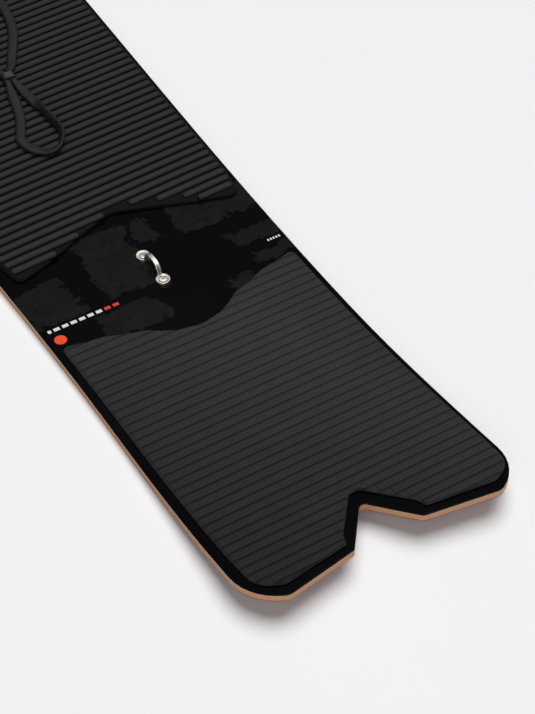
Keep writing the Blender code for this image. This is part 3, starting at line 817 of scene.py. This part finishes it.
def strap(middle):
    select_none()
    low = FOOT_Z + STRAP_START
    bpy.ops.mesh.primitive_circle_add(vertices=20, radius=1, location=(0, 0, 0))
    made = bpy.context.object
    made.scale = (STRAP_THICK / 2, STRAP_WIDTH / 2, 1)
    seat(made)
    for v in made.data.vertices:
        flat = 1 - abs(v.co.y / (STRAP_WIDTH / 2)) ** 6
        if v.co.x > 0:
            v.co.x = STRAP_THICK / 2 * flat - CHANNEL_DEPTH * math.exp(-((v.co.y / CHANNEL_WIDTH) ** 2))
        v.co.x += middle + strap_reach - STRAP_THICK / 2
        v.co.z = low
    edit(made)
    keep_all_selected()
    bpy.ops.mesh.spin(steps=28, angle=math.pi, center=(middle, 0, low), axis=(0, 1, 0))
    keep_all_selected()
    bpy.ops.mesh.remove_doubles(threshold=1e-7)
    bpy.ops.mesh.select_all(action="DESELECT")
    bpy.ops.mesh.select_non_manifold(extend=False)
    bpy.ops.mesh.fill_holes(sides=0)
    keep_all_selected()
    bpy.ops.mesh.normals_make_consistent(inside=False)
    done()
    for v in made.data.vertices:
        along, up = v.co.x - middle, max(v.co.z - low, 0)
        radius = math.hypot(along, up)
        v.co.x = middle + radius * math.copysign(abs(along / radius) ** 0.70, along)
        v.co.z = low + radius * (up / radius) ** 0.80
    height = max(v.co.z for v in made.data.vertices) - low
    for v in made.data.vertices:
        v.co.z = low + (v.co.z - low) / height * (strap_crown - low)
    return made


# %% Both anchors
for node in ("rear_anchor", "front_anchor"):
    low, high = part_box(node)
    middle = (low.x + high.x) / 2
    bow = strap(middle)
    for side in (-1, 1):
        base = foot(middle + side * SCREW_PITCH / 2)
        apply_modifier(bow, "BOOLEAN", operation="UNION", solver="EXACT", object=base)
        bpy.data.objects.remove(base)
    bow.name = node.replace("anchor", "bow")
    smooth(bow, 35)
    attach(bow, "root")
    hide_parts(node)
    layers[bow.name] = bow
    print(bow.name, "faces:", len(bow.data.polygons))

# %% [markdown]
# ## The screws
#
# A screw with a low round head and a hexagon socket holds each foot. The head starts as a cylinder with
# a rounded rim, and the socket is cut by a six-sided prism.

# %% Screws
SCREW_HEAD_RADIUS, SCREW_HEAD_THICK = 0.0043, 0.0016
SCREW_SHANK_RADIUS = 0.0027
SOCKET_RADIUS, SOCKET_CUTTER, SOCKET_TURN = 0.0017, 0.0022, 0.4


def screw(node):
    low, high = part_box(node)
    x = (low.x + high.x) / 2
    top = high.z
    select_none()
    bpy.ops.mesh.primitive_cylinder_add(
        vertices=48, radius=SCREW_HEAD_RADIUS, depth=SCREW_HEAD_THICK,
        location=(x, 0, top - SCREW_HEAD_THICK / 2),
    )
    head = seat_active()
    edit(head)
    pick("faces", lambda f: f.normal.z < -0.9)
    bpy.ops.mesh.inset(thickness=SCREW_HEAD_RADIUS - SCREW_SHANK_RADIUS)
    bpy.ops.mesh.extrude_region_move(TRANSFORM_OT_translate={"value": (0, 0, low.z + SCREW_HEAD_THICK - top)})
    pick("edges", lambda e: all(v.co.z > top - 1e-5 for v in e.verts))
    bpy.ops.mesh.bevel(offset=0.0005, segments=4, affect="EDGES")
    done()
    select_none()
    bpy.ops.mesh.primitive_cylinder_add(
        vertices=6, radius=SOCKET_RADIUS, depth=SOCKET_CUTTER, location=(x, 0, top),
        rotation=(0, 0, SOCKET_TURN),
    )
    key = seat_active()
    apply_modifier(head, "BOOLEAN", operation="DIFFERENCE", solver="EXACT", object=key)
    bpy.data.objects.remove(key)
    head.name = node.replace("screw", "bolt")
    smooth(head, 35)
    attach(head, "root")
    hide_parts(node)
    return head


screws = [screw(n) for n in ("rear_screw_1", "rear_screw_2", "front_screw_1", "front_screw_2")]
print("screws:", [len(s.data.polygons) for s in screws])

# %% [markdown]
# ## The keeper
#
# The keeper is a short sleeve of wound cord that holds the two runs of the rope side by side. It is a
# box with a deeply rounded section, cut into rings along its length, and every second ring is swollen,
# so that it looks wound.

# %% Keeper
KEEPER_WIDTH, KEEPER_THICK = 0.0155, 0.0090
KEEPER_RISE = 0.0047  # from the solid keeper's underside to the sleeve's middle
KEEPER_ROUND = 0.0042
TURNS = 4
keeper_low, keeper_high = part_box("rope_keeper")
select_none()
bpy.ops.mesh.primitive_cube_add(size=1, location=(0, 0, 0))
keeper = bpy.context.object
keeper.name = "keeper_sleeve"
keeper.scale = (KEEPER_LENGTH, KEEPER_WIDTH, KEEPER_THICK)
seat(keeper)
edit(keeper)
pick("edges", lambda e: abs(e.verts[0].co.x - e.verts[1].co.x) > KEEPER_LENGTH / 2)
bpy.ops.mesh.bevel(offset=KEEPER_ROUND, segments=6, affect="EDGES")
for k in range(1, 4 * TURNS):
    keep_all_selected()
    x = KEEPER_LENGTH * (k / (4 * TURNS) - 0.5)
    bpy.ops.mesh.bisect(plane_co=(x, 0, 0), plane_no=(1, 0, 0))
done()
for v in keeper.data.vertices:
    wound = 0.5 - 0.5 * math.cos(2 * math.pi * TURNS * (v.co.x / KEEPER_LENGTH + 0.5))
    v.co.y *= 0.94 + 0.06 * wound
    v.co.z *= 0.86 + 0.14 * wound
keeper.rotation_euler = (0, 0, KEEPER_TURN)
keeper.location = (*KEEPER_CENTRE, keeper_low.z + KEEPER_RISE)
seat(keeper)
smooth(keeper, 60)
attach(keeper, "root")
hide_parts("rope_keeper")
print("keeper:", [round(v, 4) for v in keeper_low], [round(v, 4) for v in keeper_high])

# %% [markdown]
# ## Finishes of the deck
#
# The topsheet is black gloss with ragged dark grey patches in place of its printed scene. A black band
# crosses it, with a row of plain dashes on it and a small orange dot beside it.

# %% Gloss topsheet
gloss = Finish("gloss_topsheet", roughness=0.12, Specular_IOR_Level=0.25)
x, y, z = gloss.xyz()
ragged = gloss.noise(46.0, 6.0, 0.65, distortion=0.6)
fine = gloss.noise(170.0, 4.0, 0.7)
torn_x, torn_y = x + (ragged - 0.5) * 0.040, y + (ragged - 0.5) * 0.050


def patch(low_x, high_x, low_y, high_y):
    """A ragged dark grey patch."""
    return torn_x.within(low_x, high_x, 0.0015) * torn_y.within(low_y, high_y, 0.0015)


PATCHES = [
    (-0.345, -0.285, 0.088, 0.150), (-0.345, -0.245, 0.000, 0.060), (-0.285, -0.250, -0.030, -0.005),
    (-0.295, -0.250, -0.150, -0.050), (-0.345, -0.325, -0.150, -0.095), (-0.395, -0.358, 0.018, 0.085),
    (-0.378, -0.360, -0.150, -0.100), (-0.400, -0.380, -0.085, -0.055),
]
grey_area = patch(*PATCHES[0])
for corners in PATCHES[1:]:
    grey_area = grey_area.maths("MAXIMUM", grey_area, patch(*corners))
grey_area = grey_area * fine.over(0.36, 0.10)
across_line = x.within(-0.357, -0.346, 0.0004)
tone = ragged.tint((0.0050, 0.0050, 0.0056), (0.0115, 0.0115, 0.0122))
black = fine.tint((0.0010, 0.0009, 0.0014), (0.0014, 0.0013, 0.0019))
art = mix_color(grey_area * (1 - across_line), black, tone)
dash_row = x.within(-0.3536, -0.3494, 0.0003)
dash = y.wave(0.0098).over(0.22, 0.08)
left_dashes = dash_row * dash * y.within(0.0750, 0.1375, 0.0003)
red_dashes = dash_row * dash * y.within(0.0540, 0.0745, 0.0003)
small_row = x.within(-0.3530, -0.3500, 0.0003)
right_dashes = small_row * y.wave(0.0034).over(0.35, 0.1) * y.within(-0.1410, -0.1250, 0.0003)
dot_x, dot_y = x - (-0.3670), y - 0.1310
squares = dot_x * dot_x + dot_y * dot_y
dot = 1 - squares.maths("SQRT", squares).over(0.0065, 0.0003)
white = left_dashes.maths("MAXIMUM", left_dashes, right_dashes)
art = mix_color(white, art, fine.tint((0.62, 0.62, 0.62), (0.68, 0.68, 0.68)))
art = mix_color(red_dashes, art, fine.tint((0.60, 0.045, 0.03), (0.66, 0.06, 0.04)))
art = mix_color(dot, art, fine.tint((0.72, 0.065, 0.025), (0.78, 0.085, 0.035)))
gloss.set("Base Color", art)
gloss.set("Roughness", 0.08 + 0.08 * ragged)
gloss.bump(gloss.noise(60.0, 2.0), 0.04, 0.001)
paint(layers["top_gloss"], gloss)

# %% Wood, glass and base
wood = Finish("wood_core", roughness=0.5, Specular_IOR_Level=0.35)
grain = wood.noise(1.0, 5.0, 0.6, vector=wood.stretched((9.0, 420.0, 900.0)))
patch = wood.noise(7.0, 2.0)
tan = grain.tint((0.34, 0.150, 0.062), (0.62, 0.34, 0.175))
orange = grain.tint((0.36, 0.105, 0.022), (0.62, 0.24, 0.055))
wood.set("Base Color", mix_color(patch.over(0.52, 0.14), tan, orange))
wood.set("Roughness", 0.42 + 0.2 * grain)
wood.bump(grain, 0.25, 0.0002)
paint(layers["core_strips"], wood)

glass = Finish("glass_laminate", roughness=0.3)
fibre = glass.noise(1.0, 4.0, 0.6, vector=glass.stretched((60.0, 900.0, 1500.0)))
glass.set("Base Color", fibre.tint((0.50, 0.32, 0.20), (0.68, 0.47, 0.33)))
glass.bump(fibre, 0.15, 0.0001)
paint(layers["upper_glass"], glass)
low_glass = Finish("lower_glass_laminate", roughness=0.35)
fibre = low_glass.noise(1.0, 4.0, 0.6, vector=low_glass.stretched((60.0, 900.0, 1500.0)))
low_glass.set("Base Color", fibre.tint((0.48, 0.22, 0.09), (0.60, 0.30, 0.13)))
low_glass.bump(fibre, 0.15, 0.0001)
paint(layers["lower_glass"], low_glass)

wax = Finish("running_base", roughness=0.34, Specular_IOR_Level=0.4)
x, y, z = wax.xyz()
structure = wax.noise(1.0, 3.0, 0.6, vector=wax.stretched((3.0, 1500.0, 1.0)))
cloud = wax.noise(5.0, 4.0, 0.6)
wax.set("Base Color", (0.5 * structure + 0.5 * cloud).tint((0.20, 0.045, 0.025), (0.30, 0.075, 0.042)))
wax.set("Roughness", 0.26 + 0.2 * cloud)
wax.bump(structure, 0.35, 0.0001)
paint(layers["base_sheet"], wax)

# %% [markdown]
# ## Foam
#
# Both pads are closed-cell foam. Its skin is matt, with a fine sandy grain, and a little uneven in tone at
# random. The tail pad has painted sheen: a slanting streak and its part towards the nose are made lighter.
# Its grooves have painted shade. The ribbed pad has painted shade in its valleys and on its flat border,
# and painted highlights on its crests.

# %% Foam finishes
def foam(name, rough, gloss_level):
    made = Finish(name, roughness=rough, Specular_IOR_Level=gloss_level)
    cells = made.noise(2200.0, 2.0, 0.6)
    mottle = made.noise(38.0, 4.0, 0.6)
    made.set("Roughness", rough - 0.08 + 0.16 * mottle)
    made.bump(cells + 0.4 * mottle, 0.30, 0.0003)
    return made, cells, mottle


tail_foam, cells, mottle = foam("pad_foam", 0.85, 0.08)
x, y, z = tail_foam.xyz()
# Painted sheen: a slanting streak and the part towards the nose are made lighter, in place of the overhead
# light's soft sheen on the foam.
off_streak = (y + 0.10 - 0.36 * (x + 0.60)) * 4.2  # 0 along a slanting streak down the pad
streak = 1 - off_streak.maths("ABSOLUTE", off_streak)
from_tail = x + 0.76
forward = from_tail.maths("MULTIPLY", from_tail, 2.5, clamp=True)
painted_sheen = 0.55 * streak.maths("MAXIMUM", streak, 0) + 0.45 * forward
# Painted shade: the foam is made darker along each groove, where shade falls in it.
painted_groove_shade = (x - FIRST_GROOVE).wave(GROOVE_PITCH).over(0.80, 0.36)
tone = 0.20 * cells + 0.25 * mottle + 0.55 * painted_sheen - 0.30 * painted_groove_shade
tail_foam.set("Base Color", tone.tint((0.0125, 0.0125, 0.0132), (0.0400, 0.0400, 0.0420)))
paint(tail_pad, tail_foam)

ribbed_foam, cells, mottle = foam("ribbed_foam", 0.75, 0.10)
x, y, z = ribbed_foam.xyz()
# Painted light: the colour follows the ribs' height, so the valleys and the flat border get painted shade,
# almost black, and the crests get a painted highlight.
above_valley = z - sheet_top - 0.35 * rib_height
painted_crest_light = above_valley.maths("MULTIPLY", above_valley, 1.55 / rib_height, clamp=True)
tone = painted_crest_light * (0.72 + 0.16 * cells + 0.12 * mottle)
ribbed_foam.set("Base Color", tone.tint((0.0022, 0.0022, 0.0023), (0.0310, 0.0310, 0.0310)))
paint(front_pad, ribbed_foam)

# %% [markdown]
# ## Metal
#
# The anchors are bright nickel plate over a casting that is never quite smooth. The screws are steel,
# a little darker, with fine turning marks round their heads.

# %% Metal finishes
nickel = Finish("nickel", roughness=0.42, metallic=1.0)
cast = nickel.noise(420.0, 3.0, 0.6)
cloud = nickel.noise(120.0, 2.0)
nickel.set("Base Color", cloud.tint((0.52, 0.49, 0.43), (0.64, 0.61, 0.54)))
nickel.set("Roughness", 0.36 + 0.16 * cast)
nickel.bump(cast, 0.25, 0.0002)
for name in ("rear_bow", "front_bow"):
    paint(layers[name], nickel)

steel = Finish("screw_steel", roughness=0.3, metallic=1.0)
turned = steel.noise(900.0, 2.0)
steel.set("Base Color", turned.tint((0.42, 0.40, 0.37), (0.58, 0.56, 0.52)))
steel.set("Roughness", 0.25 + 0.25 * turned)
steel.bump(turned, 0.2, 0.0001)
for head in screws:
    paint(head, steel)

brass = Finish("insert_steel", roughness=0.4, metallic=1.0)
knurl = brass.noise(600.0, 2.0)
brass.set("Base Color", knurl.tint((0.45, 0.44, 0.42), (0.55, 0.54, 0.51)))
brass.set("Roughness", 0.3 + 0.2 * knurl)
for name in ("rear_insert_1", "rear_insert_2", "front_insert_1", "front_insert_2"):
    for place in nodes[name].material_slots:
        place.material = brass.material

glue = Finish("adhesive_film", roughness=0.5)
sticky = glue.noise(80.0, 3.0)
glue.set("Base Color", sticky.tint((0.020, 0.020, 0.020), (0.035, 0.035, 0.034)))
glue.set("Roughness", 0.4 + 0.2 * sticky)
for name in ("tail_pad_film", "front_pad_film"):
    for place in nodes[name].material_slots:
        place.material = glue.material

# %% [markdown]
# ## The braid
#
# The rope is a black braid. Its yarns cross in two slanting families, which the UV map carries round
# and along it: two waves, one leaning each way, and the higher of the two is on top.

# %% Braid finish
def braid(name, low, high):
    made = Finish(name, roughness=0.5, Specular_IOR_Level=0.2)
    along, around, _ = made.xyz(made.uv)
    one = (along * (1 / 0.0030) + around * 10).wave(1.0)
    other = (along * (1 / 0.0030) - around * 10).wave(1.0)
    yarn = one.maths("MAXIMUM", one, other)
    fuzz = made.noise(900.0, 3.0, 0.7)
    made.set("Base Color", (0.6 * yarn + 0.4 * fuzz).tint(low, high))
    made.set("Roughness", 0.40 + 0.25 * fuzz)
    made.bump(yarn + 0.3 * fuzz, 0.5, 0.0003)
    return made


rope_braid = braid("braided_rope", (0.003, 0.003, 0.0033), (0.014, 0.014, 0.015))
paint(rope, rope_braid)
keeper_braid = Finish("keeper_cord", roughness=0.55, Specular_IOR_Level=0.4)
fuzz = keeper_braid.noise(700.0, 3.0, 0.6)
keeper_braid.set("Base Color", fuzz.tint((0.005, 0.005, 0.005), (0.014, 0.014, 0.014)))
keeper_braid.bump(fuzz, 0.4, 0.0003)
paint(keeper, keeper_braid)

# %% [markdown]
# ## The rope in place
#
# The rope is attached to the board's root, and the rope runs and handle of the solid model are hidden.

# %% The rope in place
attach(rope, "root")
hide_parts("rope_runs", "rope_handle")
